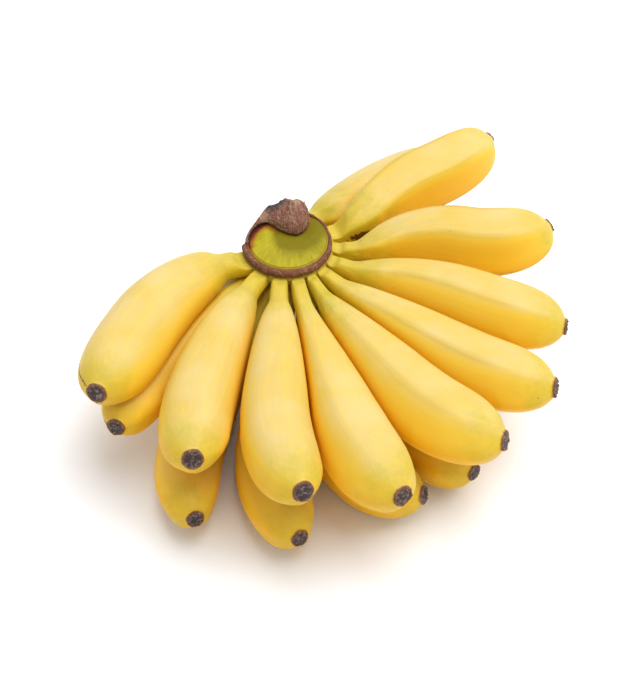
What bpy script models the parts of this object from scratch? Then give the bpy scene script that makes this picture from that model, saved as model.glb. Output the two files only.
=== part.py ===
"""A hand of sugar bananas: two rows of short plump fingers on one cut crown.

The hand lies on its lower row. +Z is up, the outer ends of the middle fingers point towards -Y and +X,
and the origin is under the middle of the hand, on the surface that it lies on.
Lengths in this file are in millimetres and angles in degrees; objects are made in metres.
"""

import math
from typing import NamedTuple

import bmesh
import bpy
import numpy as np
from mathutils import Matrix, Vector

METRES = 0.001
GAP = 0.5  # kept between solids that touch on the real fruit

# The crown, the cushion of stalk that all the necks grow from
CROWN_AXIS = np.array([-19.5, 41.0])  # from the middle of the hand, seen from above
CROWN_RADIUS = 19.6
CROWN_FOOT = 22.0  # height of its underside above the surface
CROWN_FACE = 51.0  # height of the green cut face at the rim
BACK_CUT = 17.5  # from the crown's axis to the flat cut at its back
BACK_BEARING = 148.0  # the way that the back cut faces
UPPER_ROOT, LOWER_ROOT = 42.5, 31.5  # heights at which the two rows of necks leave the crown

# The rim, the corky scar round the edge of the cut face
RIM_FOOT, RIM_TOP, RIM_DEPTH = 47.6, 51.4, 2.4
RIM_START, RIM_END = 186.0, 428.0  # bearings between which it runs, past the front of the crown

# The dry stub of the stalk that is left on the cut face
STUB_MIDDLE = (-2.5, 9.5)
STUB_SIZE = (12.0, 9.5, 9.0)

# A finger's shape, as shares of its length and of its girth
STATIONS = (0, 0.25, 0.6, 1)  # neck, shoulder, belly and tip
SNOUT_WIDTH = 9.0
RIDGES = 5
RIDGE_HEIGHT = 0.045
RIDGE_ROLL = {"upper": 48.0, "lower": 18.0}  # where a ridge stands, up from the side; the lower row lies on a flat
SOFTNESS = 1.2  # how roundly a finger gives way where its neighbour presses on it
SAG = 0.8  # how far the lower row would sink into the surface if the peel stayed round
FLATTENED = 0.6  # below this height the peel lies flat on the surface

# Sides and rings of a finger's surface, and the points along its middle line
SIDES, RINGS, SAMPLES = 15, 20, 61


class Finger(NamedTuple):
    """One banana. Angles run anticlockwise from +X, seen from above."""

    name: str
    bearing: float  # where its neck leaves the crown
    headings: tuple  # direction at the four stations
    pitches: tuple  # climb at the four stations
    length: float
    girth: float  # thickness at the widest
    neck: float  # thickness of the neck
    root: float  # height of the neck where it leaves the crown
    slope: float = 0.62  # how slowly it widens past the neck
    widest: float = 0.62  # share of its length at which it is widest
    neck_end: float = 0.14  # share of its length at which the neck starts to widen


FINGERS = (
    Finger("upper_1", 208, (196, 228, 248, 254), (16, 9, 8, 18), 122, 34, 13.6, UPPER_ROOT + 1, 0.5, 0.58),
    Finger("upper_2", 234, (241, 252, 258, 277), (16, 3, 3, 26), 128, 32.5, 10.6, UPPER_ROOT, 0.65),
    Finger("upper_3", 260, (269, 270, 270, 296), (18, 5, 1, 24), 139, 33, 10, UPPER_ROOT, 0.75),
    Finger("upper_4", 284, (275, 285, 286, 306), (18, 3, 0, 18), 144, 34, 10, UPPER_ROOT, 1.15, 0.70),
    Finger("upper_5", 302, (286, 301, 305, 339), (18, 3, 0, 12), 139, 34, 9.5, UPPER_ROOT, 0.88, 0.68),
    Finger("upper_6", 318, (298, 317, 322, 344), (20, 3, 0, 12), 134, 31, 10, UPPER_ROOT, 0.85, 0.68),
    Finger("upper_7", 338, (310, 343, 330, 346), (22, 5, 2, 5), 120, 30.5, 10, UPPER_ROOT, 0.85, 0.66),
    Finger("upper_8", 0, (330, 18, 341, 31), (22, 6, 4, 14), 107, 31.5, 9.4, UPPER_ROOT, 0.74),
    Finger("upper_9", 24, (8, 49, 27, 46), (20, 6, 4, 8), 100, 30, 12, UPPER_ROOT, 0.6, 0.58, 0.1),
    Finger("lower_1", 211, (224, 233, 241, 253), (-1, 1, 3, 14), 112, 28, 12, LOWER_ROOT + 3),
    Finger("lower_2", 247, (236, 242, 254, 290), (-30, -10, -4, 18), 132, 30, 10, LOWER_ROOT),
    Finger("lower_3", 270, (262, 264, 268, 302), (-30, -10, -4, 16), 134, 31.5, 9, LOWER_ROOT),
    Finger("lower_4", 292, (272, 279, 294, 342), (-30, -10, -4, 16), 130, 32, 9, LOWER_ROOT),
    Finger("lower_5", 312, (294, 300, 306, 320), (-30, -10, -4, 14), 124, 32, 9, LOWER_ROOT),
    Finger("lower_6", 334, (326, 326, 328, 334), (-30, -10, -4, 12), 104, 31, 9, LOWER_ROOT),
    Finger("lower_7", 356, (350, 352, 355, 0), (-30, -10, -4, 12), 96, 31, 8, LOWER_ROOT),
    Finger("lower_8", 80, (44, 34, 33, 32), (-8, -5, -3, 4), 92, 30, 10, LOWER_ROOT + 6),
)
RAISED = ("lower_1", "lower_8")  # held off the surface by their own necks


# The middle line of a finger


def bend(along, angles):
    """An angle that turns evenly from station to station."""
    return np.interp(along, STATIONS, np.unwrap(angles, period=360))


def half_width(finger, along):
    """Half of the finger's thickness at a share of its length: neck, shoulder, belly, rounded end, snout."""
    neck = finger.neck / finger.girth
    rise = np.clip((along - finger.neck_end) / (finger.widest - finger.neck_end), 0, 1)
    rise = rise**2 / (rise + 0.02) * 1.02
    body = neck + (1 - neck) * (1 - (1 - rise) ** 1.5) ** finger.slope
    fall = np.clip((along - finger.widest) / (1 - finger.widest), 0, 1)
    body = body * np.sqrt(1 - fall**3.6)
    snout = np.where(along > finger.widest, SNOUT_WIDTH / finger.girth, 0)
    return finger.girth / 2 * np.maximum(body, snout)


class Spine:
    """A finger's middle line, in steps, with half of its thickness at each."""

    def __init__(self, finger):
        self.finger = finger
        self.along = np.linspace(0, 1, SAMPLES)
        self.half = half_width(finger, self.along)
        self.droop_to(finger.pitches[0])

    def droop_to(self, neck_pitch):
        """Draws the line again with another climb at the neck."""
        finger = self.finger
        heading = np.radians(bend(self.along, finger.headings))
        pitch = np.radians(bend(self.along, (neck_pitch, *finger.pitches[1:])))
        level = np.cos(pitch)
        self.forward = np.stack([level * np.cos(heading), level * np.sin(heading), np.sin(pitch)], axis=1)
        bearing = math.radians(finger.bearing)
        outward = np.array([math.cos(bearing), math.sin(bearing)])
        root = np.append(CROWN_AXIS + CROWN_RADIUS * outward, finger.root)
        steps = (self.forward[:-1] + self.forward[1:]) / 2 * finger.length / (SAMPLES - 1)
        self.points = root + np.vstack([np.zeros(3), np.cumsum(steps, axis=0)])

    def lowest(self):
        return float(np.min(self.points[:, 2] - self.half))

    def settle(self):
        """Droops at the neck until the underside lies on the surface."""
        steep, flat = -60.0, 30.0
        for _ in range(30):
            middle = (steep + flat) / 2
            self.droop_to(middle)
            if self.lowest() > -SAG:
                flat = middle
            else:
                steep = middle

    def at(self, along):
        """Middle points and forward, side and up directions there. Side is level, and up is square to both."""
        point = np.stack([np.interp(along, self.along, self.points[:, i]) for i in range(3)], axis=-1)
        forward = np.stack([np.interp(along, self.along, self.forward[:, i]) for i in range(3)], axis=-1)
        forward /= np.linalg.norm(forward, axis=-1, keepdims=True)
        side = np.cross(forward, (0.0, 0.0, 1.0))
        side /= np.linalg.norm(side, axis=-1, keepdims=True)
        return point, forward, side, np.cross(side, forward)

    def clear_of(self, points):
        """How far each point stands clear of this finger's round surface; negative inside it."""
        apart = np.linalg.norm(points[:, None, :] - self.points[None, :, :], axis=2)
        return np.min(apart - self.half[None, :], axis=1)


# The surface of a finger


def ridge_angle(finger):
    return math.radians(RIDGE_ROLL[finger.name.split("_")[0]])


def ridged(half, from_ridge):
    """A five-sided section: the width at an angle from a ridge, with the ridges rounded."""
    return half * (1 + RIDGE_HEIGHT * np.cos(RIDGES * from_ridge))


def pressed(spine, others, middles, outward, free):
    """Widths drawn in to the surface midway to each neighbour, where two fingers press on each other."""
    press = np.exp(-free / SOFTNESS)
    for other in others:
        near = np.min(np.linalg.norm(middles[:, None] - other.points[None], axis=2) - other.half, axis=1)
        touched = near < free + 3 * SOFTNESS
        if not touched.any():
            continue
        start, way = middles[touched], outward[touched]
        low, high = np.full(len(start), 0.5), free[touched] * 1.5
        for _ in range(14):
            middle = (low + high) / 2
            points = start + way * middle[:, None]
            inside = spine.clear_of(points) < other.clear_of(points) - GAP
            low, high = np.where(inside, middle, low), np.where(inside, high, middle)
        press[touched] += np.exp(-low / SOFTNESS)
    return -SOFTNESS * np.log(press)


def seat_on_crown(points, along, forward):
    """Slides the first rings along the neck, so that its foot follows the crown's round wall."""
    for i in np.flatnonzero(along < 0.1):
        flat, way = points[i, :2] - CROWN_AXIS, forward[i, :2]
        a, b, c = way @ way, 2 * flat @ way, flat @ flat - CROWN_RADIUS**2
        slide = (-b + math.sqrt(max(b * b - 4 * a * c, 0.0))) / (2 * a)
        points[i] += forward[i] * slide * (1 - along[i] / 0.1)


def keep_out_of_crown(points):
    """Moves points that are inside the crown's round wall straight out to it."""
    flat = points[:, :2] - CROWN_AXIS
    distance = np.linalg.norm(flat, axis=1)
    inside = distance < CROWN_RADIUS
    points[inside, :2] = CROWN_AXIS + flat[inside] / distance[inside, None] * CROWN_RADIUS


def keep_under_rim(points):
    """Holds the necks down where they pass below the rim."""
    out = np.linalg.norm(points[:, :2] - CROWN_AXIS, axis=1) - CROWN_RADIUS - RIM_DEPTH - 3
    ceiling = RIM_FOOT - GAP + 1.2 * np.maximum(out, 0)
    points[:, 2] = np.minimum(points[:, 2], ceiling)


def finger_points(spine, others, along, round_angle):
    """Points on a finger's skin, for arrays of shares of its length and of angles round it."""
    middles, forward, side, up = spine.at(along)
    outward = np.cos(round_angle)[:, None] * side + np.sin(round_angle)[:, None] * up
    free = ridged(half_width(spine.finger, along), round_angle - ridge_angle(spine.finger))
    points = middles + outward * pressed(spine, others, middles, outward, free)[:, None]
    seat_on_crown(points, along, forward)
    keep_under_rim(points)
    points[points[:, 2] < FLATTENED, 2] = 0
    return points


def ring_places(share):
    """Where the rings stand along a finger: closer together at the shoulder and at the rounded end."""
    along = np.linspace(0, 1, 501)
    crowding = 1 + 1.5 * np.exp(-(((along - 0.18) / 0.08) ** 2)) + 2.5 * np.exp((along - 1) / 0.1)
    passed = np.cumsum(crowding)
    return np.interp(share, (passed - passed[0]) / (passed[-1] - passed[0]), along)


def make_finger(spine, others, collection, peel):
    """A ball's rings are laid out along the middle line, close together at the rounded end."""
    mesh_maker = bmesh.new()
    bmesh.ops.create_uvsphere(mesh_maker, u_segments=SIDES, v_segments=RINGS, radius=1)
    rings = np.array([math.acos(max(-1, min(1, -v.co.z))) / math.pi * RINGS for v in mesh_maker.verts])
    along = ring_places(np.clip((np.round(rings) - 1) / (RINGS - 2), 0, 1))
    angle = np.array([math.atan2(-v.co.y, v.co.x) for v in mesh_maker.verts]) + ridge_angle(spine.finger)
    points = finger_points(spine, others, along, angle)
    for i, vertex in enumerate(mesh_maker.verts):
        if math.hypot(vertex.co.x, vertex.co.y) < 1e-4:
            ring = points[(along == along[i]) & (np.arange(len(points)) != i)]
            points[i] = ring.mean(axis=0)
    keep_out_of_crown(points)
    for vertex, point in zip(mesh_maker.verts, points):
        vertex.co = Vector(point) * METRES
    return solid("finger_" + spine.finger.name, mesh_maker, collection, peel)


# Helpers


def solid(name, mesh_maker, collection, material):
    """Turns a bmesh into a smooth-shaded object."""
    mesh = bpy.data.meshes.new(name)
    mesh_maker.to_mesh(mesh)
    mesh_maker.free()
    mesh.shade_smooth()
    mesh.materials.append(material)
    thing = bpy.data.objects.new(name, mesh)
    collection.objects.link(thing)
    return thing


def keep_as_guide(thing, name, guides):
    """Keeps a shape that only cuts or forms another one, out of the renders."""
    thing.name = name
    thing.hide_render = True
    thing.display_type = "WIRE"
    for holder in list(thing.users_collection):
        holder.objects.unlink(thing)
    guides.objects.link(thing)


def make_material(name, colour, roughness):
    material = bpy.data.materials.new(name)
    material.use_nodes = True
    shader = material.node_tree.nodes["Principled BSDF"]
    shader.inputs["Base Color"].default_value = (*colour, 1)
    shader.inputs["Roughness"].default_value = roughness
    return material


def turned(name, profile, steps, collection, material):
    """A profile of (radius, height) points, from the top's middle down its outer side, turned about Z."""
    mesh = bpy.data.meshes.new(name)
    points = [(radius * METRES, 0, height * METRES) for radius, height in profile]
    mesh.from_pydata(points, [(i, i + 1) for i in range(len(points) - 1)], [])
    mesh.materials.append(material)
    thing = bpy.data.objects.new(name, mesh)
    collection.objects.link(thing)
    screw = thing.modifiers.new("Turn", "SCREW")
    screw.steps = screw.render_steps = steps
    screw.use_merge_vertices = True
    screw.merge_threshold = 0.00001
    screw.use_smooth_shade = True
    return thing


# The crown and what is on it


def make_crown(collection, guides, flesh):
    """The cushion: a turned block, cut flat at its back where the stalk was."""
    profile = [
        (0, CROWN_FACE + 1),
        (CROWN_RADIUS * 0.6, CROWN_FACE + 0.7),
        (CROWN_RADIUS - GAP, CROWN_FACE),
        (CROWN_RADIUS - GAP, CROWN_FOOT + 4),
        (CROWN_RADIUS * 0.8, CROWN_FOOT + 1),
        (CROWN_RADIUS * 0.4, CROWN_FOOT),
        (0, CROWN_FOOT),
    ]
    crown = turned("crown", profile, 48, collection, flesh)
    crown.location = (CROWN_AXIS[0] * METRES, CROWN_AXIS[1] * METRES, 0)
    width = 80 * METRES
    bpy.ops.mesh.primitive_cube_add(size=width)
    cutter = bpy.context.object
    bearing = math.radians(BACK_BEARING)
    outward = Vector((math.cos(bearing), math.sin(bearing), 0))
    cutter.location = crown.location + outward * (BACK_CUT * METRES + width / 2)
    cutter.location.z = CROWN_FACE * METRES
    cutter.rotation_euler.z = bearing
    keep_as_guide(cutter, "back_cutter", guides)
    cut = crown.modifiers.new("Back cut", "BOOLEAN")
    cut.operation = "DIFFERENCE"
    cut.object = cutter
    return crown


def make_rim(collection, guides, cork):
    """The rim: a rounded band swept round the edge of the cut face, thinner towards its ends."""
    bpy.ops.curve.primitive_bezier_circle_add(radius=0.5 * METRES)
    section = bpy.context.object
    section.scale = (RIM_DEPTH, RIM_TOP - RIM_FOOT, 1)
    bpy.ops.object.transform_apply(location=False, rotation=False, scale=True)
    section.data.resolution_u = 3
    keep_as_guide(section, "rim_section", guides)

    steps = 40
    path = bpy.data.curves.new("crown_rim", "CURVE")
    path.dimensions = "3D"
    path.bevel_mode = "OBJECT"
    path.bevel_object = section
    path.use_fill_caps = True
    spline = path.splines.new("POLY")
    spline.points.add(steps)
    for i, point in enumerate(spline.points):
        bearing = math.radians(RIM_START + (RIM_END - RIM_START) * i / steps)
        radius = CROWN_RADIUS + RIM_DEPTH / 2
        x, y = CROWN_AXIS + radius * np.array([math.cos(bearing), math.sin(bearing)])
        point.co = (x * METRES, y * METRES, (RIM_FOOT + RIM_TOP) / 2 * METRES, 1)
        point.radius = 0.6 + 0.4 * math.sin(math.pi * i / steps) ** 0.5
    path.materials.append(cork)
    rim = bpy.data.objects.new("crown_rim", path)
    collection.objects.link(rim)
    return rim


def make_stub(collection, husk):
    """The stub: half an egg that lies on the cut face."""
    mesh_maker = bmesh.new()
    bmesh.ops.create_uvsphere(mesh_maker, u_segments=20, v_segments=14, radius=1)
    x, y = CROWN_AXIS + np.array(STUB_MIDDLE)
    place = Matrix.Translation((x, y, CROWN_FACE)) @ Matrix.Diagonal((*STUB_SIZE, 1))
    bmesh.ops.transform(mesh_maker, matrix=place, verts=mesh_maker.verts)
    everything = mesh_maker.verts[:] + mesh_maker.edges[:] + mesh_maker.faces[:]
    floor = Vector((0, 0, CROWN_FACE + 1 + GAP))
    cut = bmesh.ops.bisect_plane(
        mesh_maker, geom=everything, plane_co=floor, plane_no=(0, 0, 1), clear_inner=True
    )
    rim = [piece for piece in cut["geom_cut"] if isinstance(piece, bmesh.types.BMEdge)]
    bmesh.ops.contextual_create(mesh_maker, geom=rim)
    bmesh.ops.recalc_face_normals(mesh_maker, faces=mesh_maker.faces)
    bmesh.ops.scale(mesh_maker, vec=(METRES,) * 3, verts=mesh_maker.verts)
    return solid("stalk_stub", mesh_maker, collection, husk)


def make_blossom_end(spine, shape, collection, husk):
    """The dry end of the flower, seated on the finger's snout."""
    point, forward, side, up = (Vector(axis) for axis in spine.at(1.0))
    end = shape.copy()
    end.name = "blossom_end_" + spine.finger.name
    turn = Matrix((-side, up, forward)).transposed().to_4x4()
    end.matrix_world = Matrix.Translation((point + forward * GAP) * METRES) @ turn
    collection.objects.link(end)
    return end


def main():
    for thing in list(bpy.data.objects):
        bpy.data.objects.remove(thing)
    hand = bpy.data.collections.new("Hand of sugar bananas")
    guides = bpy.data.collections.new("Guides")
    bpy.context.scene.collection.children.link(hand)
    bpy.context.scene.collection.children.link(guides)

    peel = make_material("Ripe peel", (0.84, 0.56, 0.08), 0.45)
    flesh = make_material("Green crown flesh", (0.42, 0.42, 0.05), 0.6)
    cork = make_material("Brown cork", (0.13, 0.06, 0.03), 0.85)
    husk = make_material("Dry husk", (0.06, 0.035, 0.025), 0.9)

    spines = [Spine(finger) for finger in FINGERS]
    for spine in spines:
        if spine.finger.root < UPPER_ROOT and spine.finger.name not in RAISED:
            spine.settle()
    for spine in spines:
        make_finger(spine, [other for other in spines if other is not spine], hand, peel)

    half = SNOUT_WIDTH / 2
    end_profile = [(0, 1.3), (half * 0.45, 1.0), (half * 0.7, 1.9), (half, 1.4), (half, 0), (0, 0)]
    end_shape = turned("blossom_end", end_profile, 10, hand, husk)
    for spine in spines:
        make_blossom_end(spine, end_shape, hand, husk)
    bpy.data.objects.remove(end_shape)

    make_crown(hand, guides, flesh)
    make_rim(hand, guides, cork)
    make_stub(hand, husk)


if __name__ == "__main__":
    main()
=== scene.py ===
import math
from functools import partial

import bmesh
import bpy
import numpy as np
from mathutils import Matrix, Vector, noise


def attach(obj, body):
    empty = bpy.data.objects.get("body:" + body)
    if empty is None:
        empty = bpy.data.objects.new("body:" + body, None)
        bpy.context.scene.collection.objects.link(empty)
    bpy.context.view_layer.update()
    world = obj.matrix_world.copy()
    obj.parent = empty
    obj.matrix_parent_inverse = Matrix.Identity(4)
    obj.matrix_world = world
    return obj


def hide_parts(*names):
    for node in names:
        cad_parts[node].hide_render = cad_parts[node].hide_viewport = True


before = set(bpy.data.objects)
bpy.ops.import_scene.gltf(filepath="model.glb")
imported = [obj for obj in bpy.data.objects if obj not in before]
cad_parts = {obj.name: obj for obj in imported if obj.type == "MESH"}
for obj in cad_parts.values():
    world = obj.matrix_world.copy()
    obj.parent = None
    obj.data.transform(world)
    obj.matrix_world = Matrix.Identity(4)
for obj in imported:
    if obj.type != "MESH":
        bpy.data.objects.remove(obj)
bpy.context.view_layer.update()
mm = 0.001


print("frame loaded,", len(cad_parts), "nodes")


# small helpers used all over
def linearColour(hexCode):
    channels = [int(hexCode[i:i + 2], 16) / 255 for i in (1, 3, 5)]
    return (*[c / 12.92 if c <= 0.04045 else ((c + 0.055) / 1.055) ** 2.4 for c in channels], 1)


def feed(node, inputs):
    # inputs come in the node's own order, or by name or number; a socket is linked, or each socket of a list,
    # and any other value is set on the input
    for key, value in inputs.items() if isinstance(inputs, dict) else enumerate(inputs):
        for source in value if isinstance(value, list) else [value]:
            if isinstance(source, bpy.types.NodeSocket):
                node.id_data.links.new(source, node.inputs[key])
            else:
                node.inputs[key].default_value = source


def addNode(tree, kind, inputs=None, output=0, **settings):
    # adds a node with its settings and links, and gives back the output that is wanted
    node = tree.nodes.new(kind)
    for key, value in settings.items():
        setattr(node, key, value)
    feed(node, inputs or {})
    return node.outputs[output]


def newMaterial(name, look):
    material = bpy.data.materials.new(name)
    material.use_nodes = True
    tree = material.node_tree
    colours = {key: linearColour(value) for key, value in look.items() if isinstance(value, str)}
    return material, partial(addNode, tree), tree.nodes["Principled BSDF"], colours


def newGeometryTree(name, sockets):
    tree = bpy.data.node_groups.new(name, "GeometryNodeTree")
    tree.interface.new_socket("Geometry", in_out="INPUT", socket_type="NodeSocketGeometry")
    for label, kind in sockets.items():
        tree.interface.new_socket(label, in_out="INPUT", socket_type="NodeSocket" + kind)
    tree.interface.new_socket("Geometry", in_out="OUTPUT", socket_type="NodeSocketGeometry")
    return tree, partial(addNode, tree), tree.nodes.new("NodeGroupInput").outputs, tree.nodes.new("NodeGroupOutput")


def endTree(add, result, shape, material):
    # the export drops instances, so they are made real, and then the piece gets its material
    shape = add("GeometryNodeRealizeInstances", [shape])
    shape = add("GeometryNodeSetMaterial", {"Geometry": shape, "Material": material})
    feed(result, {0: shape})


def runTree(thing, tree, values):
    # the modifier's inputs are set by identifier, then its result becomes a plain mesh
    modifier = thing.modifiers.new(tree.name, "NODES")
    modifier.node_group = tree
    for item in tree.interface.items_tree:
        if item.in_out == "INPUT" and item.name in values:
            modifier[item.identifier] = values[item.name]
    graph = bpy.context.evaluated_depsgraph_get()
    mesh = bpy.data.meshes.new_from_object(
        thing.evaluated_get(graph), preserve_all_data_layers=True, depsgraph=graph)
    thing.modifiers.remove(modifier)
    thing.data = mesh
    mesh.name = thing.name
    return mesh


def newObject(name, points, edges=(), faces=()):
    mesh = bpy.data.meshes.new(name)
    mesh.from_pydata([tuple(map(float, p)) for p in points], edges, faces)
    thing = bpy.data.objects.new(name, mesh)
    bpy.context.scene.collection.objects.link(thing)
    return thing


def storeValues(mesh, **fields):
    # one value or vector a point, under each field's name
    for name, values in fields.items():
        values = np.asarray(values, np.float32)
        kind, entry = ("FLOAT_VECTOR", "vector") if values.ndim == 2 else ("FLOAT", "value")
        layer = mesh.attributes.get(name) or mesh.attributes.new(name, kind, "POINT")
        layer.data.foreach_set(entry, values.ravel())


def readValues(mesh, name):
    layer = mesh.attributes[name]
    width, entry = (3, "vector") if layer.data_type == "FLOAT_VECTOR" else (1, "value")
    values = np.zeros(len(mesh.vertices) * width, np.float32)
    layer.data.foreach_get(entry, values)
    return (values.reshape(-1, 3) if width == 3 else values).astype(float)


def outwardFaces(mesh):
    maker = bmesh.new()
    maker.from_mesh(mesh)
    bmesh.ops.remove_doubles(maker, verts=maker.verts, dist=1e-7)
    bmesh.ops.recalc_face_normals(maker, faces=maker.faces)
    if maker.calc_volume(signed=True) < 0:
        bmesh.ops.reverse_faces(maker, faces=maker.faces)
    maker.to_mesh(mesh)
    maker.free()


def finishPiece(piece, slot, *nodes):
    piece.data.shade_smooth()
    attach(piece, "root")
    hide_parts(*nodes)


def noiseAt(points, fineness, shift=(0, 0, 0)):
    return np.array([noise.noise(Vector(p) * fineness + Vector(shift)) for p in points])


def relaxed(values, times):
    for _ in range(times):
        values[1:-1] = (values[:-2] + 2 * values[1:-1] + values[2:]) / 4
    return values


def ringFaces(rings, count):
    # the skin over a first point, rings of count points each and a last point
    faces = [(0, 1 + i, 1 + (i + 1) % count) for i in range(count)]
    for ring in range(rings - 1):
        a, b = 1 + ring * count, 1 + (ring + 1) * count
        faces += [(a + i, b + i, b + (i + 1) % count, a + (i + 1) % count) for i in range(count)]
    last = 1 + (rings - 1) * count
    return faces + [(last + i, last + count, last + (i + 1) % count) for i in range(count)]


def smoothStep(value, low, high):
    t = np.clip((value - low) / (high - low), 0, 1)
    return t * t * (3 - 2 * t)


# the materials, with the sizes of their patterns in millimetres
peelLook = {
    "body": "#CAAE52", "pale": "#CFBA80", "golden": "#ECC440", "deepShade": "#F0B20C", "neck": "#BAA722", "tip": "#C0AA38",
    "olive": "#A6A020", "ridge": "#B6982A", "speck": "#6E4214", "scar": "#5A280E", "fringe": "#94601E",
    "cloudSpacing": 22.0, "blotchSpacing": 9.0, "streakSpacing": 1.6, "dimpleSpacing": 0.9, "tearSpacing": 1.3,
    "speckSpacing": 9.0, "speckSize": 0.42, "roughness": 0.44, "glow": 0.12, "glowDepth": 2.0,
}


def makePeelMaterial():
    # ripe banana peel: waxy and satin, so the top light spreads wide; painted shade keeps it pale where lit and turns
    # it deep gold below, greener at neck and tip, with faint lengthwise fibres and a few brown freckles
    look = peelLook
    material, add, shader, colours = newMaterial("ripe banana peel", look)
    along, shade, edge, scarred, greenness = [
        add("ShaderNodeAttribute", output="Fac", attribute_name=name)
        for name in ("along", "shade", "edge", "scar", "greenness")]
    skin = add("ShaderNodeAttribute", output="Vector", attribute_name="skin")
    place = add("ShaderNodeTexCoord", output="Object")

    # broad clouds between the body yellow and the pale bloom, and painted shade in golden and deep gold on the sides
    # turned from the light
    clouds = add("ShaderNodeTexNoise", {"Vector": place, "Scale": 1 / (look["cloudSpacing"] * mm), "Detail": 2.0})
    bloom = add("ShaderNodeMapRange", [clouds, 0.35, 0.7, 0.15, 0.85])
    golden = add("ShaderNodeMapRange", [shade, 0.0, 0.5, 0.0, 0.95])
    deepShade = add("ShaderNodeMapRange", [shade, 0.45, 1.0, 0.0, 0.95])

    # neck and tip keep some green, and so does the shoulder in blotches
    neck = add("ShaderNodeMapRange", [along, 0.30, 0.06, 0.0, 0.75], interpolation_type="SMOOTHSTEP")
    neckCloud = add("ShaderNodeMath", [clouds, 0.9, 0.5], operation="MULTIPLY_ADD")
    neck = add("ShaderNodeMath", [neck, neckCloud], operation="MULTIPLY", use_clamp=True)
    tip = add("ShaderNodeMapRange", [along, 0.9, 0.995, 0.0, 0.5], interpolation_type="SMOOTHSTEP")
    blotch = add("ShaderNodeTexNoise", {"Vector": place, "Scale": 1 / (look["blotchSpacing"] * mm), "Detail": 3.0})
    blotch = add("ShaderNodeMapRange", [blotch, 0.34, 0.7])
    blotch = add("ShaderNodeMath", [blotch, greenness], operation="MULTIPLY")
    ridge = add("ShaderNodeMath", [edge, 0.5], operation="MULTIPLY")

    # fibres run the length of the finger: fine across it, forty times as long
    fine = 1 / look["streakSpacing"]
    stretched = add("ShaderNodeMapping", {"Vector": skin, "Scale": (fine, fine, fine / 40)})
    fibres = add("ShaderNodeTexNoise", {"Vector": stretched, "Scale": 1.0, "Detail": 3.0, "Roughness": 0.6})
    fibreMask = add("ShaderNodeMapRange", [fibres, 0.46, 0.76, 0.0, 0.34])

    # freckles: a dot in about one cell of four, and marks where the hand was knocked
    cells = add("ShaderNodeTexVoronoi", {"Vector": skin, "Scale": 1 / look["speckSpacing"]})
    chosen = add("ShaderNodeSeparateColor", [cells.node.outputs["Color"]])
    chosen = add("ShaderNodeMath", [chosen, 0.72], operation="GREATER_THAN")
    dotSize = look["speckSize"] / look["speckSpacing"]
    dot = add("ShaderNodeMapRange", [cells, dotSize, 0.4 * dotSize, 0.0, 0.8])
    dot = add("ShaderNodeMath", [dot, chosen], operation="MULTIPLY")
    ragged = add("ShaderNodeTexNoise", {
        "Vector": place, "Scale": 1 / (look["tearSpacing"] * mm), "Detail": 3.0, "Roughness": 0.65})
    torn = add("ShaderNodeMath", [scarred, ragged], operation="ADD")
    torn = add("ShaderNodeMapRange", [torn, 0.86, 1.0, 0.0, 0.92])
    fringe = add("ShaderNodeMath", [ragged, 0.008, along], operation="MULTIPLY_ADD")
    fringe = add("ShaderNodeMapRange", [fringe, 0.998, 1.003, 0.0, 0.8])

    colour = colours["body"]
    for mask, tone in ((bloom, "pale"), (golden, "golden"), (deepShade, "deepShade"), (neck, "neck"), (tip, "tip"),
                       (blotch, "olive"), (ridge, "ridge"), (fibreMask, "golden"), (dot, "speck"),
                       (torn, "scar"), (fringe, "fringe")):
        colour = add("ShaderNodeMix", {0: mask, 6: colour, 7: colours[tone]}, 2, data_type="RGBA")
    dimples = add("ShaderNodeTexNoise", {"Vector": skin, "Scale": 1 / look["dimpleSpacing"], "Detail": 1.0})
    relief = add("ShaderNodeMath", [fibres, 1.6, dimples], operation="MULTIPLY_ADD")
    bump = add("ShaderNodeBump", {"Strength": 0.14, "Distance": 0.3 * mm, "Height": relief})
    sheen = add("ShaderNodeMapRange", [clouds, 0.3, 0.7, look["roughness"] - 0.05, look["roughness"] + 0.07])
    feed(shader, {
        "Base Color": colour, "Roughness": sheen, "Normal": bump, "IOR": 1.42, "Specular IOR Level": 0.24,
        "Subsurface Weight": look["glow"], "Subsurface Radius": (1.0, 0.6, 0.12),
        "Subsurface Scale": look["glowDepth"] * mm,
    })
    return material


crownLook = {
    "flesh": "#9E9212", "light": "#B8AE34", "olive": "#665C00", "burnt": "#96481A", "edge": "#5E2C1C",
    "peel": "#D0B44C",
    "streakSpacing": 0.8, "cloudSpacing": 7.0, "tearSpacing": 1.6, "roughness": 0.6, "glow": 0.05, "glowDepth": 2.0,
}


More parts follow.
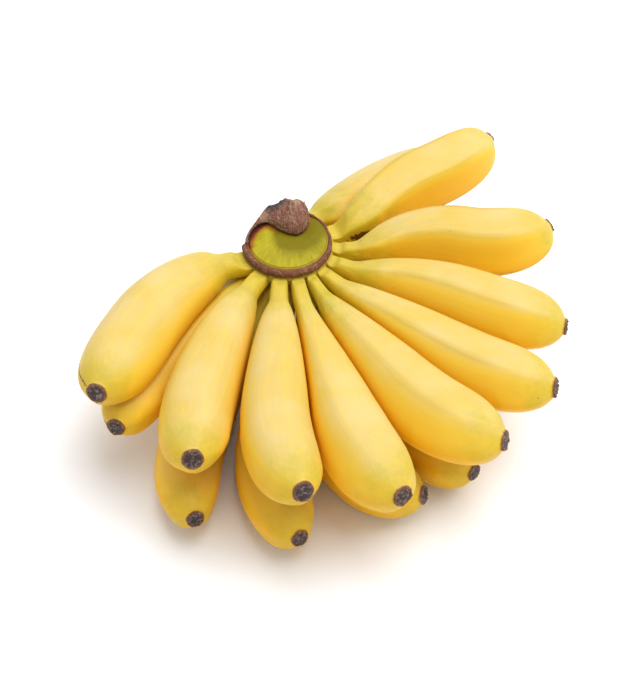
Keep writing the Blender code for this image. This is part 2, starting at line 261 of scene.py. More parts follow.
def makeCrownMaterial():
    # cut banana stalk that has dried a little: matt green-yellow flesh with pale strands, olive in mottled patches
    # and as painted shade over the hollow by the stub, and rust-brown where the cut edge has oxidised
    look = crownLook
    material, add, shader, colours = newMaterial("cut stalk flesh", look)
    cut, hollow, burnt = [
        add("ShaderNodeAttribute", output="Fac", attribute_name=name) for name in ("cut", "hollow", "burnt")]
    strand = add("ShaderNodeAttribute", output="Vector", attribute_name="strand")
    place = add("ShaderNodeTexCoord", output="Object")

    fine = 1 / look["streakSpacing"]
    stretched = add("ShaderNodeMapping", {"Vector": strand, "Scale": (fine, 0.12 * fine, 1.0)})
    strands = add("ShaderNodeTexNoise", {"Vector": stretched, "Scale": 1.0, "Detail": 3.0, "Roughness": 0.6})
    strandMask = add("ShaderNodeMapRange", [strands, 0.35, 0.7, 0.0, 0.75])
    clouds = add("ShaderNodeTexNoise", {"Vector": place, "Scale": 1 / (look["cloudSpacing"] * mm), "Detail": 3.0})
    # olive mottle from the clouds, with painted shade added where the hollow by the stub is
    shadow = add("ShaderNodeMath", [clouds, 0.8, -0.28], operation="MULTIPLY_ADD", use_clamp=True)
    shadow = add("ShaderNodeMath", [shadow, hollow], operation="ADD", use_clamp=True)
    shadow = add("ShaderNodeMath", [shadow, 0.85], operation="MULTIPLY")
    ragged = add("ShaderNodeTexNoise", {
        "Vector": place, "Scale": 1 / (look["tearSpacing"] * mm), "Detail": 4.0, "Roughness": 0.6})
    rust = add("ShaderNodeMath", [ragged, 0.5, burnt], operation="MULTIPLY_ADD")
    rust = add("ShaderNodeMath", [strands, 0.6, rust], operation="MULTIPLY_ADD")
    rust = add("ShaderNodeMath", [rust, 0.3], operation="SUBTRACT")
    rustMask = add("ShaderNodeMapRange", [rust, 0.45, 0.95, 0.0, 0.85])
    barkMask = add("ShaderNodeMapRange", [rust, 1.0, 1.3])

    # the cut face first, then the peel where nothing is cut, and rust and bark over both
    peelTone = add("ShaderNodeMix", {0: clouds, 6: colours["peel"], 7: colours["flesh"]}, 2, data_type="RGBA")
    face = colours["flesh"]
    for mask, tone in ((strandMask, "light"), (shadow, "olive")):
        face = add("ShaderNodeMix", {0: mask, 6: face, 7: colours[tone]}, 2, data_type="RGBA")
    colour = add("ShaderNodeMix", {0: cut, 6: peelTone, 7: face}, 2, data_type="RGBA")
    for mask, tone in ((rustMask, "burnt"), (barkMask, "edge")):
        colour = add("ShaderNodeMix", {0: mask, 6: colour, 7: colours[tone]}, 2, data_type="RGBA")
    relief = add("ShaderNodeMath", [strands, ragged], operation="ADD")
    bump = add("ShaderNodeBump", {"Strength": 0.35, "Distance": 0.3 * mm, "Height": relief})
    feed(shader, {
        "Base Color": colour, "Normal": bump, "Roughness": look["roughness"], "Specular IOR Level": 0.15,
        "Subsurface Weight": look["glow"], "Subsurface Radius": (1.0, 0.7, 0.15),
        "Subsurface Scale": look["glowDepth"] * mm,
    })
    return material


corkLook = {"dark": "#3F241A", "middle": "#76472E", "light": "#9A6E50", "grain": 0.9, "patch": 5.0, "roughness": 0.82}


def makeCorkMaterial():
    # corky scar tissue: dry, rough and mauve-brown, with pale crumbs standing on the darker pits
    look = corkLook
    material, add, shader, colours = newMaterial("corky scar", look)
    place = add("ShaderNodeTexCoord", output="Object")
    grain = add("ShaderNodeTexNoise", {
        "Vector": place, "Scale": 1 / (look["grain"] * mm), "Detail": 4.0, "Roughness": 0.65})
    patches = add("ShaderNodeTexNoise", {"Vector": place, "Scale": 1 / (look["patch"] * mm), "Detail": 2.0})
    low = add("ShaderNodeMapRange", [grain, 0.32, 0.55])
    crumbs = add("ShaderNodeMath", [grain, patches], operation="MULTIPLY")
    crumbs = add("ShaderNodeMapRange", [crumbs, 0.27, 0.42, 0.0, 0.8])
    colour = colours["dark"]
    for mask, tone in ((low, "middle"), (crumbs, "light")):
        colour = add("ShaderNodeMix", {0: mask, 6: colour, 7: colours[tone]}, 2, data_type="RGBA")
    bump = add("ShaderNodeBump", {"Strength": 0.7, "Distance": 0.4 * mm, "Height": grain})
    feed(shader, {"Base Color": colour, "Normal": bump, "Roughness": look["roughness"]})
    return material


huskLook = {
    "dark": "#38241D", "blue": "#34343C", "middle": "#8A5A48", "light": "#C2A48C",
    "strandSpacing": 0.5, "patch": 4.0, "roughness": 0.8,
}


def makeStubMaterial():
    # dried stalk: stringy bark, brown with straw-coloured and grey strands, almost black where it has rotted, and the
    # same black as painted shade along its foot
    look = huskLook
    material, add, shader, colours = newMaterial("dry stringy stalk", look)
    place = add("ShaderNodeTexCoord", output="Object")
    rotten, pale = [
        add("ShaderNodeAttribute", output="Fac", attribute_name=name) for name in ("rotten", "pale")]
    fine = 1 / (look["strandSpacing"] * mm)
    turned = add("ShaderNodeMapping", {
        "Vector": place, "Rotation": (0.3, 0.5, math.radians(38)), "Scale": (fine, 0.12 * fine, 0.3 * fine)})
    strands = add("ShaderNodeTexNoise", {
        "Vector": turned, "Scale": 1.0, "Detail": 4.0, "Roughness": 0.65, "Distortion": 0.6})
    patches = add("ShaderNodeTexNoise", {"Vector": place, "Scale": 1 / (look["patch"] * mm), "Detail": 3.0})
    tone = add("ShaderNodeMapRange", [strands, 0.3, 0.55])
    straw = add("ShaderNodeMapRange", [strands, 0.56, 0.72, 0.0, 0.8])
    straw = add("ShaderNodeMath", [straw, pale], operation="ADD", use_clamp=True)
    # real rot at the back, and painted shade along the foot, both in the near-black
    rot = add("ShaderNodeMath", [patches, rotten], operation="ADD")
    rot = add("ShaderNodeMapRange", [rot, 0.7, 1.15, 0.0, 0.85])
    colour = colours["dark"]
    for mask, name in ((tone, "middle"), (straw, "light"), (rot, "blue")):
        colour = add("ShaderNodeMix", {0: mask, 6: colour, 7: colours[name]}, 2, data_type="RGBA")
    bump = add("ShaderNodeBump", {"Strength": 0.8, "Distance": 0.5 * mm, "Height": strands})
    feed(shader, {"Base Color": colour, "Normal": bump, "Roughness": look["roughness"]})
    return material


blossomLook = {
    "dark": "#33211B", "rim": "#6A4232", "ash": "#7C7A80", "crust": "#96785C", "grain": 1.1, "roughness": 0.6,
}


def makeBlossomMaterial():
    # withered flower base: brittle and nearly black, purple-brown on its raised rim, ash-grey glints inside
    look = blossomLook
    material, add, shader, colours = newMaterial("withered flower base", look)
    height = add("ShaderNodeAttribute", output="Fac", attribute_name="height")
    skin = add("ShaderNodeAttribute", output="Vector", attribute_name="skin")
    grain = add("ShaderNodeTexNoise", {
        "Vector": skin, "Scale": 0.7 / look["grain"], "Detail": 3.0, "Roughness": 0.6})
    raised = add("ShaderNodeMapRange", [height, 0.2, 0.8, 0.0, 0.9])
    crust = add("ShaderNodeMapRange", [grain, 0.52, 0.68, 0.0, 0.75])
    glints = add("ShaderNodeTexNoise", {"Vector": skin, "Scale": 0.95 / look["grain"], "Detail": 3.0})
    glints = add("ShaderNodeMath", [height, -0.12, glints], operation="MULTIPLY_ADD")
    glints = add("ShaderNodeMapRange", [glints, 0.55, 0.64, 0.0, 0.65])
    colour = colours["dark"]
    for mask, tone in ((raised, "rim"), (crust, "crust"), (glints, "ash")):
        colour = add("ShaderNodeMix", {0: mask, 6: colour, 7: colours[tone]}, 2, data_type="RGBA")
    bump = add("ShaderNodeBump", {"Strength": 0.7, "Distance": 0.3 * mm, "Height": grain})
    feed(shader, {"Base Color": colour, "Normal": bump, "Roughness": look["roughness"]})
    return material


peelMaterial = makePeelMaterial()
crownMaterial = makeCrownMaterial()
corkMaterial = makeCorkMaterial()
stubMaterial = makeStubMaterial()
blossomMaterial = makeBlossomMaterial()
print("materials made")

# the crown's sizes, in millimetres and degrees, as in the CAD
crown = {
    "axis": np.array([-19.5, 41.0]), "radius": 19.6, "foot": 22.0, "face": 51.0, "gap": 0.5,
    "backCut": 17.5, "backBearing": 148.0, "rimFoot": 47.6, "rimTop": 51.4, "rimDepth": 2.4,
    "rimStart": 186.0, "rimEnd": 428.0,
}

# the fingers; stations are the shares of the length that headings and pitches are given at,
# which are neck, shoulder, belly and tip
fingerForm = {
    "sides": 60, "rings": 132, "samples": 81, "ridges": 5, "stations": (0, 0.25, 0.6, 1), "neckEnd": 0.14,
    "ease": 0.016, "softness": 1.2, "sag": 0.8, "footShare": 0.1, "footInset": 0.06, "floorEase": 0.3,
    "raised": ("lower_1", "lower_8"),
}

# lengths and widths in mm; bearings and headings in degrees, anticlockwise from +X;
# roll is where a ridge stands, up from the side, ridge its height as a share of the width, crisp how sharp it is,
# green how blotched the shoulder is, and snout the width of the end that carries the flower's remains;
# neckEnd is where the neck starts to widen, and only a row that differs from fingerForm gives it
fingerFields = (
    "name", "bearing", "headings", "pitches", "length", "girth", "neck", "root", "slope", "widest",
    "roll", "ridge", "crisp", "green", "snout", "neckEnd",
)
fingerRows = (
    ("upper_1", 208, (196, 228, 248, 254), (16, 9, 8, 18), 122, 34, 13.6, 43.5, .5, .58, 60, .022, .15, .25, 9.4),
    ("upper_2", 234, (241, 252, 258, 277), (16, 3, 3, 26), 128, 32.5, 10.6, 42.5, .65, .62, 48, .025, .15, .4, 9.6),
    ("upper_3", 260, (269, 270, 270, 296), (18, 5, 1, 24), 139, 33, 10, 42.5, .75, .62, 48, .022, .1, .3, 9.6),
    ("upper_4", 284, (275, 285, 286, 306), (18, 3, 0, 18), 144, 34, 10, 42.5, 1.15, .70, 66, .03, .25, .3, 9.4),
    ("upper_5", 302, (286, 301, 305, 339), (18, 3, 0, 12), 139, 34, 9.5, 42.5, .88, .68, 70, .044, .5, .8, 9.2),
    ("upper_6", 318, (298, 317, 322, 344), (20, 3, 0, 12), 134, 31, 10, 42.5, .85, .68, 67, .06, 1.0, .5, 9.2),
    ("upper_7", 338, (310, 343, 330, 346), (22, 5, 2, 5), 120, 30.5, 10, 42.5, .85, .66, 67, .064, 1.0, .5, 7.6),
    ("upper_8", 0, (330, 18, 341, 31), (22, 6, 4, 14), 107, 31.5, 9.4, 42.5, .74, .62, 58, .08, 1.0, .4, 7.0),
    ("upper_9", 24, (8, 49, 27, 46), (20, 6, 4, 8), 100, 30, 12, 42.5, .6, .58, 46, .076, .9, .7, 6.4, .1),
    ("lower_1", 211, (224, 233, 241, 253), (-1, 1, 3, 14), 112, 28, 14.5, 34.5, .6, .62, 18, .035, .3, .2, 8.6),
    ("lower_2", 247, (236, 242, 254, 290), (-30, -10, -4, 18), 132, 30, 12, 31.5, .62, .62, 18, .04, .3, .2, 8.2),
    ("lower_3", 270, (262, 264, 268, 302), (-30, -10, -4, 16), 134, 31.5, 12.5, 31.5, .62, .62, 18, .04, .3, .3, 8.2),
    ("lower_4", 292, (272, 279, 294, 342), (-30, -10, -4, 16), 130, 32, 13, 31.5, .62, .62, 18, .045, .3, .3, 8.6),
    ("lower_5", 312, (294, 300, 306, 320), (-30, -10, -4, 14), 124, 32, 9, 31.5, .62, .62, 18, .045, .3, .2, 8.0),
    ("lower_6", 334, (326, 326, 328, 334), (-30, -10, -4, 12), 104, 31, 9, 31.5, .62, .62, 18, .045, .3, .2, 8.0),
    ("lower_7", 356, (350, 352, 355, 0), (-30, -10, -4, 12), 96, 31, 8, 31.5, .62, .62, 18, .045, .3, .2, 8.0),
    ("lower_8", 80, (44, 34, 33, 32), (-8, -5, -3, 4), 92, 30, 10, 37.5, .62, .62, 18, .045, .3, .9, 7.6),
)
fingers = [{"neckEnd": fingerForm["neckEnd"], **dict(zip(fingerFields, row))} for row in fingerRows]


def angleAlong(along, angles):
    return np.interp(along, fingerForm["stations"], np.unwrap(angles, period=360))


def halfWidth(finger, along):
    # neck, shoulder, belly, rounded end, and the snout that carries the flower's remains
    neck = finger["neck"] / finger["girth"]
    rise = np.clip((along - finger["neckEnd"]) / (finger["widest"] - finger["neckEnd"]), 0, 1)
    rise = rise ** 2 / (rise + 0.02) * 1.02
    body = neck + (1 - neck) * (1 - (1 - rise) ** 1.5) ** finger["slope"]
    fall = np.clip((along - finger["widest"]) / (1 - finger["widest"]), 0, 1)
    body = body * np.sqrt(1 - fall ** 3.6)
    snout = np.where(along > finger["widest"], finger["snout"] / finger["girth"], 0)
    return finger["girth"] / 2 * (body ** 9 + snout ** 9) ** (1 / 9)


def softHalfWidth(finger, along):
    # the turn from neck to shoulder is eased over a few millimetres
    ease = fingerForm["ease"] * (1 - smoothStep(along, 0.35, 0.5))
    weights = ((-2, 0.06), (-1, 0.24), (0, 0.4), (1, 0.24), (2, 0.06))
    return sum(weight * halfWidth(finger, np.clip(along + shift * ease, 0, 1)) for shift, weight in weights)


class MiddleLine:
    def __init__(self, finger):
        self.finger = finger
        self.along = np.linspace(0, 1, fingerForm["samples"])
        self.half = softHalfWidth(finger, self.along)
        self.draw(finger["pitches"][0])

    def draw(self, neckPitch):
        finger, count = self.finger, fingerForm["samples"]
        heading = np.radians(angleAlong(self.along, finger["headings"]))
        pitch = np.radians(angleAlong(self.along, (neckPitch, *finger["pitches"][1:])))
        level = np.cos(pitch)
        self.forward = np.stack([level * np.cos(heading), level * np.sin(heading), np.sin(pitch)], axis=1)
        bearing = math.radians(finger["bearing"])
        out = crown["radius"] * np.array([math.cos(bearing), math.sin(bearing)])
        root = np.append(crown["axis"] + out, finger["root"])
        steps = (self.forward[:-1] + self.forward[1:]) / 2 * finger["length"] / (count - 1)
        self.points = root + np.vstack([np.zeros(3), np.cumsum(steps, axis=0)])

    def settle(self):
        # the lower row droops at the neck until it lies on the surface
        steep, flat = -60.0, 30.0
        for _ in range(30):
            middle = (steep + flat) / 2
            self.draw(middle)
            if np.min(self.points[:, 2] - self.half) > -fingerForm["sag"]:
                flat = middle
            else:
                steep = middle

    def at(self, along):
        point = np.stack([np.interp(along, self.along, self.points[:, i]) for i in range(3)], axis=-1)
        forward = np.stack([np.interp(along, self.along, self.forward[:, i]) for i in range(3)], axis=-1)
        return point, forward / np.linalg.norm(forward, axis=-1, keepdims=True)

    def clearOf(self, points):
        # how far points stand from the finger's round surface, negative inside it
        square = (points ** 2).sum(axis=1)[:, None] + (self.points ** 2).sum(axis=1) - 2 * points @ self.points.T
        return np.min(np.sqrt(np.maximum(square, 0)) - self.half, axis=1)


def makeFingerTree():
    # sweeps a five-ridged skin along the middle line, as wide as the line says at each point
    tree, add, given, result = newGeometryTree("banana finger", {
        "Sides": "Int", "Ridges": "Float", "Ridge Height": "Float", "Crispness": "Float", "Roll": "Float",
        "Peel": "Material",
    })
    line = add("GeometryNodeMeshToCurve", [given["Geometry"]])
    line = add("GeometryNodeSetCurveNormal", [line], mode="Z_UP")
    ring = add("GeometryNodeCurvePrimitiveCircle", {"Resolution": given["Sides"], "Radius": 1.0})
    step = add("GeometryNodeInputIndex")
    turn = add("ShaderNodeMath", [step, given["Sides"]], operation="DIVIDE")
    turn = add("ShaderNodeMath", [turn, -2 * math.pi], operation="MULTIPLY")
    ring = add("GeometryNodeStoreNamedAttribute", {0: ring, "Name": "around", "Value": turn})
    half = add("GeometryNodeInputNamedAttribute", {"Name": "half"})
    skin = add("GeometryNodeCurveToMesh", {"Curve": line, "Profile Curve": ring, "Scale": half, "Fill Caps": True})
    around = add("GeometryNodeInputNamedAttribute", {"Name": "around"})
    middle = add("GeometryNodeInputNamedAttribute", {"Name": "middle"}, data_type="FLOAT_VECTOR")
    fromRidge = add("ShaderNodeMath", [around, given["Roll"]], operation="SUBTRACT")
    turns = add("ShaderNodeMath", [fromRidge, given["Ridges"]], operation="MULTIPLY")
    rounded = add("ShaderNodeMath", [turns], operation="COSINE")
    # sin squared of half the angle, rooted, gives flat sides that meet in an edge
    flatSide = add("ShaderNodeMath", [rounded, -0.5, 0.5 + 0.012], operation="MULTIPLY_ADD")
    flatSide = add("ShaderNodeMath", [flatSide], operation="SQRT")
    edged = add("ShaderNodeMath", [flatSide, -2.0, 1.27], operation="MULTIPLY_ADD")
    height = add("ShaderNodeMix", {0: given["Crispness"], 2: rounded, 3: edged})
    grow = add("ShaderNodeMath", [height, given["Ridge Height"], 1.0], operation="MULTIPLY_ADD")
    place = add("GeometryNodeInputPosition")
    spoke = add("ShaderNodeVectorMath", [place, middle], operation="SUBTRACT")
    spoke = add("ShaderNodeVectorMath", {0: spoke, "Scale": grow}, operation="SCALE")
    place = add("ShaderNodeVectorMath", [middle, spoke], operation="ADD")
    skin = add("GeometryNodeSetPosition", {"Geometry": skin, "Position": place})
    skin = add("GeometryNodeStoreNamedAttribute", {0: skin, "Name": "edge", "Value": height})
    endTree(add, result, skin, given["Peel"])
    return tree


def pressedWidth(line, others, middles, outward, free):
    # where two fingers press on each other, both are drawn in to the surface midway between them
    softness, gap = fingerForm["softness"], crown["gap"]
    press = np.exp(-free / softness)
    for other in others:
        touched = other.clearOf(middles) < free + 3 * softness
        if not touched.any():
            continue
        start, way = middles[touched], outward[touched]
        low, high = np.full(len(start), 0.5), free[touched] * 1.5
        for _ in range(12):
            middle = (low + high) / 2
            points = start + way * middle[:, None]
            inside = line.clearOf(points) < other.clearOf(points) - gap
            low, high = np.where(inside, middle, low), np.where(inside, high, middle)
        press[touched] += np.exp(-low / softness)
    return -softness * np.log(press)


def seatOnCrown(points, along, forward):
    # slides the foot of the neck along itself until it follows the crown's round wall
    footShare = fingerForm["footShare"]
    for i in np.flatnonzero(along < footShare):
        flat, way = points[i, :2] - crown["axis"], forward[i, :2]
        a, b, c = way @ way, 2 * flat @ way, flat @ flat - crown["radius"] ** 2
        slide = (-b + math.sqrt(max(b * b - 4 * a * c, 0.0))) / (2 * a)
        points[i] += forward[i] * slide * (1 - along[i] / footShare)
    flat = points[:, :2] - crown["axis"]
    out = np.linalg.norm(flat, axis=1)
    inside = out < crown["radius"]
    points[inside, :2] = crown["axis"] + flat[inside] / out[inside, None] * crown["radius"]
    # and the necks stay under the rim
    ceiling = crown["rimFoot"] - crown["gap"] + 1.2 * np.maximum(out - crown["radius"] - crown["rimDepth"] - 3, 0)
    points[:, 2] = np.minimum(points[:, 2], ceiling)


# marks on single fingers, each with its share of the length, the angle round the finger in degrees,
# half its length and half its width in mm, and how strong it is
marks = {
    "upper_9": ((0.14, 4, 5.5, 2.8, 0.75),),
    "upper_1": ((0.93, 12, 9.0, 0.6, 0.6), (0.975, 16, 4.0, 1.0, 0.55)),
    "lower_1": ((0.975, -8, 3.0, 1.2, 0.6),),
}


# which way the side left pale by the painted shade faces, how much each cause tints the peel (painted shade on the
# lower row and where fingers press, green at the snout), and how far apart the patterns are, in mm
paint = {"paintedLightFrom": (0.13, 0.42, 0.9), "underRowShade": 0.35, "pressedShade": 0.4, "snoutGreen": 0.4, "apart": 200.0}


def paintFinger(mesh, line, points, free, width):
    finger = line.finger
    along, around = readValues(mesh, "along"), readValues(mesh, "around")
    normal = np.zeros(len(points) * 3, np.float32)
    mesh.vertex_normals.foreach_get("vector", normal)
    # painted shade: the side that faces the light stays pale, and the peel is painted golden, then deep gold, away
    # from it, and more so on the lower row under the upper one and where fingers press together
    facing = normal.reshape(-1, 3) @ np.array(paint["paintedLightFrom"])
    underRowShade = finger["name"].startswith("lower") and finger["name"] != "lower_8"
    shade = smoothStep(-facing, -0.85, 0.42) + paint["underRowShade"] * underRowShade
    shade += paint["pressedShade"] * smoothStep(free - width, 0.2, 2.5)
    edge = smoothStep(readValues(mesh, "edge"), 0.55, 1.0) * smoothStep(along, 0.2, 0.4)
    edge = edge * smoothStep(-along, -0.9, -0.72) * finger["crisp"]
    shoulder, snout = np.exp(-((along - 0.2) / 0.12) ** 2), np.exp(-((along - 0.94) / 0.055) ** 2)
    # the skin laid out straight, in mm, and shifted for each finger so that no two look alike
    shift = paint["apart"] * fingers.index(finger)
    skin = np.stack([width * np.cos(around), width * np.sin(around), along * finger["length"] + shift], axis=1)
    scar = np.zeros(len(points))
    for where, angle, halfLength, halfAcross, strength in marks.get(finger["name"], ()):
        lengthwise = (along - where) * finger["length"] / halfLength
        turned = np.angle(np.exp(1j * (around - math.radians(angle)))) * free / halfAcross
        scar = np.maximum(scar, strength * np.exp(-lengthwise ** 2 - turned ** 2))
    storeValues(
        mesh, shade=np.clip(shade, 0, 1), edge=edge, skin=skin, scar=scar,
        greenness=finger["green"] * shoulder + paint["snoutGreen"] * snout)


def makeFinger(line, others, tree):
    finger = line.finger
    share = np.linspace(0, 1, 801)
    # rings stand closer at the shoulder and towards the tip
    passed = np.cumsum(1 + 1.5 * np.exp(-(((share - 0.18) / 0.08) ** 2)) + 2.5 * np.exp((share - 1) / 0.1))
    passed = (passed - passed[0]) / (passed[-1] - passed[0])
    along = np.interp(np.linspace(0, 1, fingerForm["rings"]), passed, share)
    middles, _ = line.at(along)
    count = len(along)
    piece = newObject("peel_" + finger["name"], middles, [(i, i + 1) for i in range(count - 1)])
    storeValues(piece.data, along=along, half=softHalfWidth(finger, along), middle=middles)
    mesh = runTree(piece, tree, {
        "Sides": fingerForm["sides"], "Ridges": float(fingerForm["ridges"]), "Ridge Height": finger["ridge"],
        "Crispness": finger["crisp"], "Roll": math.radians(finger["roll"]), "Peel": peelMaterial,
    })
    points = np.array([v.co for v in mesh.vertices])
    along, middles = readValues(mesh, "along"), readValues(mesh, "middle")
    _, forward = line.at(along)
    spokes = points - middles
    free = np.linalg.norm(spokes, axis=1)
    outward = spokes / free[:, None]
    width = pressedWidth(line, others, middles, outward, free)
    points = middles + outward * width[:, None]
    seatOnCrown(points, along, forward)
    # nothing dips below the floor, and the foot's cap is drawn into the crown
    ease, foot = fingerForm["floorEase"], along == 0
    points[:, 2] = ease * np.logaddexp(0, points[:, 2] / ease)
    points[foot, :2] += (crown["axis"] - points[foot, :2]) * fingerForm["footInset"]
    mesh.vertices.foreach_set("co", (points * mm).ravel())
    mesh.update()
    paintFinger(mesh, line, points, free, width)
    return piece


lines = [MiddleLine(finger) for finger in fingers]
for line in lines:
    if line.finger["name"].startswith("lower") and line.finger["name"] not in fingerForm["raised"]:
        line.settle()
fingerTree = makeFingerTree()
for line in lines:
    piece = makeFinger(line, [other for other in lines if other is not line], fingerTree)
    finishPiece(piece, "peel", "finger_" + line.finger["name"])
print("fingers made")

# the withered flower on each finger's end, made for a snout as wide as madeFor, in mm, and scaled to each one
blossomForm = {
    "scales": 15, "ringRadius": 3.95, "scaleSize": 1.0, "middles": 7, "middleRadius": 1.7,
    "wrinkle": 1.1, "fineness": 0.9, "seed": 11,
    "floorRadius": 4.1, "floorHeight": 0.55, "floorSides": 24, "madeFor": 9.4,
}


def makeBlossomTree():
    # a ring of dried scales round a wrinkled floor with the stubs of the stamens
    tree, add, given, result = newGeometryTree("withered flower", {
        "Scales": "Int", "Ring Radius": "Float", "Scale Size": "Float", "Middles": "Int", "Middle Radius": "Float",
        "Wrinkle": "Float", "Fineness": "Float", "Seed": "Int", "Husk": "Material",
    })
    bead = add("GeometryNodeMeshIcoSphere", {"Radius": 1.0, "Subdivisions": 3})
    outer = add("GeometryNodeMeshCircle", {"Vertices": given["Scales"], "Radius": given["Ring Radius"]})
    size, small, lean = [
        add("FunctionNodeRandomValue", {0: least, 1: most, 8: given["Seed"]}, data_type="FLOAT_VECTOR")
        for least, most in (((0.4, 0.9, 0.45), (0.75, 1.5, 1.0)), ((0.35, 0.3, 0.5), (1.0, 0.6, 1.0)),
                            ((-0.3, -0.5, -0.35), (0.3, 0.3, 0.35)))]
    size = add("ShaderNodeVectorMath", {0: size, "Scale": given["Scale Size"]}, operation="SCALE")
    step = add("GeometryNodeInputIndex")
    bearing = add("ShaderNodeMath", [step, given["Scales"]], operation="DIVIDE")
    bearing = add("ShaderNodeMath", [bearing, 2 * math.pi], operation="MULTIPLY")
    bearing = add("ShaderNodeCombineXYZ", {2: bearing})
    lean = add("ShaderNodeVectorMath", [lean, bearing], operation="ADD")
    scales = add("GeometryNodeInstanceOnPoints", {"Points": outer, "Instance": bead, "Rotation": lean, "Scale": size})
    inner = add("GeometryNodeMeshCircle", {"Vertices": given["Middles"], "Radius": given["Middle Radius"]})
    stubs = add("GeometryNodeInstanceOnPoints", {"Points": inner, "Instance": bead, "Rotation": lean, "Scale": small})
    shape = add("GeometryNodeJoinGeometry", {"Geometry": [given["Geometry"], scales, stubs]})
    shape = add("GeometryNodeRealizeInstances", [shape])
    place = add("GeometryNodeInputPosition")
    shifted = add("ShaderNodeVectorMath", [place, given["Seed"]], operation="ADD")
    rough = add("ShaderNodeTexNoise", {"Vector": shifted, "Scale": given["Fineness"], "Detail": 2.0})
    rough = add("ShaderNodeMath", [rough, 0.5], operation="SUBTRACT")
    rough = add("ShaderNodeMath", [rough, given["Wrinkle"]], operation="MULTIPLY")
    normal = add("GeometryNodeInputNormal")
    offset = add("ShaderNodeVectorMath", {0: normal, "Scale": rough}, operation="SCALE")
    shape = add("GeometryNodeSetPosition", {"Geometry": shape, "Offset": offset})
    endTree(add, result, shape, given["Husk"])
    return tree


def floorDisc():
    # a shallow cushion that the scales stand on, closed underneath
    radius, height, count = blossomForm["floorRadius"], blossomForm["floorHeight"], blossomForm["floorSides"]
    rows = [(0.35, 0.85), (0.7, 0.8), (1.0, 0.45), (1.08, 0.0), (1.0, -0.35)]
    turns = [2 * math.pi * i / count for i in range(count)]
    points = [(0, 0, 0.75 * height)]
    for share, level in rows:
        points += [(radius * share * math.cos(t), radius * share * math.sin(t), level * height) for t in turns]
    points.append((0, 0, -0.35 * height))
    return points, ringFaces(len(rows), count)


blossomTree = makeBlossomTree()
for number, line in enumerate(lines):
    points, faces = floorDisc()
    piece = newObject("blossom_" + line.finger["name"], points, (), faces)
    mesh = runTree(piece, blossomTree, {
        "Scales": blossomForm["scales"] - number % 3, "Ring Radius": blossomForm["ringRadius"],
        "Scale Size": blossomForm["scaleSize"], "Middles": blossomForm["middles"] - number % 2,
        "Middle Radius": blossomForm["middleRadius"], "Wrinkle": blossomForm["wrinkle"],
        "Fineness": blossomForm["fineness"], "Seed": blossomForm["seed"] + 7 * number, "Husk": blossomMaterial,
    })
    local = np.array([v.co for v in mesh.vertices])
    local[:, 2] = np.clip(local[:, 2], -0.3, 1.3)
    storeValues(mesh, height=smoothStep(np.hypot(local[:, 0], local[:, 1]), 2.6, 3.9), skin=local + 30.0 * number)
    local[:, :2] *= line.finger["snout"] / blossomForm["madeFor"]
    mesh.vertices.foreach_set("co", local.ravel())
    point, forward = line.at(np.array([1.0]))
    forward = Vector(forward[0])
    side = forward.cross(Vector((0, 0, 1))).normalized()
    turn = Matrix((-side, side.cross(forward), forward)).transposed().to_4x4()
    mesh.transform(Matrix.Translation((Vector(point[0]) + forward * 0.1) * mm) @ turn @ Matrix.Scale(mm, 4))
    mesh.update()
    finishPiece(piece, "blossom_end", "blossom_end_" + line.finger["name"])
print("flower remains made")

# the crown; nicks are small torn spots on its wall, each with its bearing and height
crownForm = {
    "around": 200, "bulge": 3.4, "dome": 0.9, "hollowDepth": 0.8, "cornerRadius": 0.9,
    "nicks": ((272, 45.4), (293, 45.6), (329, 45.0), (349, 45.2)),
}


def crownEdge(bearing):
    # round, but cut straight across at the back
    turned = np.cos(bearing - math.radians(crown["backBearing"]))
    straight = np.where(turned > 0.3, crown["backCut"] / np.maximum(turned, 0.3), 99.0)
    radius = crown["radius"] - crown["gap"]
    return -0.5 * np.log(np.exp(-radius / 0.5) + np.exp(-straight / 0.5))


# the stub lies on the cut face like a hood. Its knots run from the end of the rim on the left round to the right,
# each with x and y of its lip and of its back, from the crown's axis, and its height, all in mm;
# hem is how far the back hangs down, in mm, at the bearings before it
stubForm = {
    "knots": (
        (-18.9, -3.8, -20.4, -3.2, 0.2), (-18.8, -0.2, -19.9, 0.2, 0.3), (-17.9, 3.0, -18.9, 3.5, 0.5),
        (-16.6, 5.7, -17.4, 6.2, 0.8), (-14.9, 7.9, -15.9, 8.7, 1.2), (-13.4, 8.8, -14.6, 10.8, 1.9),
        (-11.6, 9.8, -13.0, 13.2, 2.8), (-9.8, 9.8, -11.0, 15.6, 4.4), (-7.7, 8.1, -8.6, 17.4, 6.0),
        (-3.9, 4.8, -5.0, 18.7, 7.8), (-0.1, 2.6, -1.4, 19.2, 8.8), (4.0, 1.5, 2.2, 19.1, 9.0),
        (7.0, 3.4, 4.8, 18.8, 8.8), (8.9, 6.2, 6.4, 18.4, 8.0), (10.0, 9.4, 7.2, 18.2, 7.0),
        (9.9, 12.4, 7.5, 18.1, 5.6), (8.9, 15.4, 7.5, 18.2, 3.6), (7.8, 17.8, 7.3, 18.5, 1.0),
    ),
    "hemBearings": (68, 82, 92, 104, 120, 150, 176, 192), "hem": (1.4, 1.5, 2.2, 3.4, 4.0, 4.2, 3.9, 3.2),
    "around": 150, "across": 44, "crest": 0.72, "lipBulge": 0.05, "overhang": 0.5,
    "density": 0.5, "strandLength": 2.8, "strandThickness": 0.26, "spread": 0.5, "seed": 5,
}


def stubRows():
    knots = np.array(stubForm["knots"])
    passed = np.append(0, np.cumsum(np.hypot(*np.diff(knots[:, :2], axis=0).T)))
    places = np.linspace(0, passed[-1], stubForm["around"])
    return relaxed(np.stack([np.interp(places, passed, column) for column in knots.T], axis=1), 3)


def fromStub(offset):
    # how far points of the face are from the stub's foot
    rows = stubRows()
    share = np.linspace(0, 1, 16)[:, None, None]
    foot = (rows[:, :2] + (rows[:, 2:4] - rows[:, :2]) * share).reshape(-1, 2)
    return np.array([np.sqrt(np.min(((foot - p) ** 2).sum(axis=1))) for p in offset])


